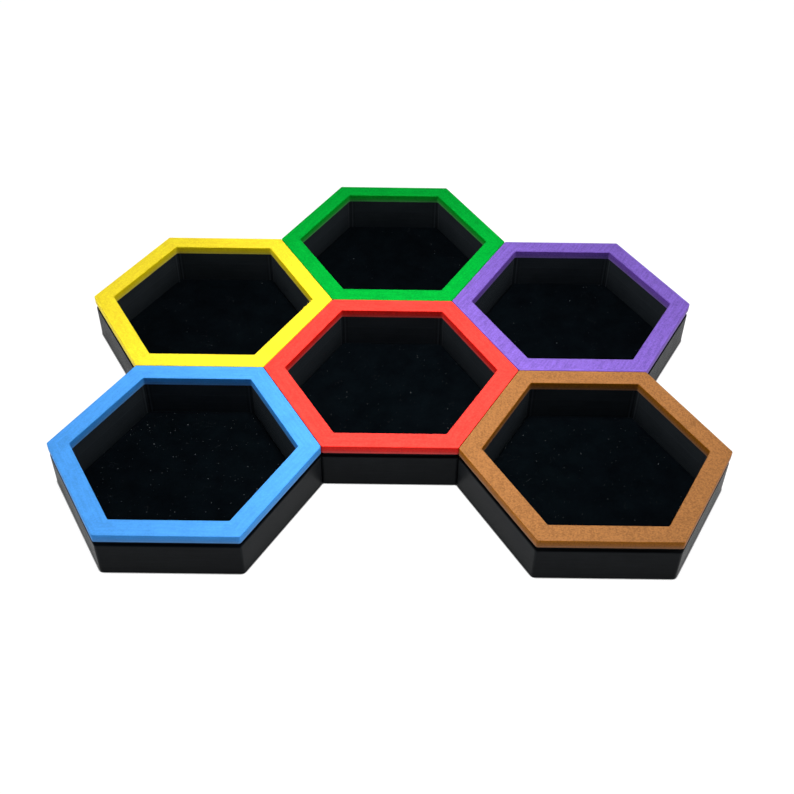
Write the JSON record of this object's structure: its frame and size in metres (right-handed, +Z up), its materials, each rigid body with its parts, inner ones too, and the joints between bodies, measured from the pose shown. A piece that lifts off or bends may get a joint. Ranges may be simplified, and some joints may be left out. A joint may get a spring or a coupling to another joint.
{
  "type": "hexagonal dice tray set",
  "caption": "Hexagonal dice trays that join side to side as a honeycomb: black boxes with felt floors, coloured rims and hidden magnets.",
  "frame": {"origin": "centre of the red (middle) tray's underside, on the table plane", "axes": "+Z up, +X to the right across the two front trays (the set's longest extent), +Y to the back, towards the green tray"},
  "size_m": [0.2888, 0.2503, 0.023],
  "materials": {
    "black_plastic": "satin printed plastic",
    "red_plastic": "satin printed plastic with fine top-surface lines",
    "green_plastic": "satin printed plastic with fine top-surface lines",
    "yellow_plastic": "satin printed plastic with fine top-surface lines",
    "blue_plastic": "satin printed plastic with fine top-surface lines",
    "brown_plastic": "satin printed plastic with fine top-surface lines",
    "purple_plastic": "satin printed plastic with fine top-surface lines",
    "black_felt": "short-pile felt",
    "plated_magnet": "nickel plated"
  },
  "bodies": {
    "red_tray": {"red_tray_shell": "black_plastic", "red_rim": "red_plastic", "red_felt_liner": "black_felt", "red_magnets": "plated_magnet"},
    "green_tray": {"green_tray_shell": "black_plastic", "green_rim": "green_plastic", "green_felt_liner": "black_felt", "green_magnets": "plated_magnet"},
    "yellow_tray": {"yellow_tray_shell": "black_plastic", "yellow_rim": "yellow_plastic", "yellow_felt_liner": "black_felt", "yellow_magnets": "plated_magnet"},
    "blue_tray": {"blue_tray_shell": "black_plastic", "blue_rim": "blue_plastic", "blue_felt_liner": "black_felt", "blue_magnets": "plated_magnet"},
    "brown_tray": {"brown_tray_shell": "black_plastic", "brown_rim": "brown_plastic", "brown_felt_liner": "black_felt", "brown_magnets": "plated_magnet"},
    "purple_tray": {"purple_tray_shell": "black_plastic", "purple_rim": "purple_plastic", "purple_felt_liner": "black_felt", "purple_magnets": "plated_magnet"}
  },
  "joints": [
    {"name": "green_tray_pull", "type": "slide", "parent": "red_tray", "child": "green_tray", "axis": [0, 1, 0], "range_m": [0, 0.06]},
    {"name": "yellow_tray_pull", "type": "slide", "parent": "red_tray", "child": "yellow_tray", "axis": [-0.866, 0.5, 0], "range_m": [0, 0.06]},
    {"name": "blue_tray_pull", "type": "slide", "parent": "red_tray", "child": "blue_tray", "axis": [-0.866, -0.5, 0], "range_m": [0, 0.06]},
    {"name": "brown_tray_pull", "type": "slide", "parent": "red_tray", "child": "brown_tray", "axis": [0.866, -0.5, 0], "range_m": [0, 0.06]},
    {"name": "purple_tray_pull", "type": "slide", "parent": "red_tray", "child": "purple_tray", "axis": [0.866, 0.5, 0], "range_m": [0, 0.06]}
  ]
}
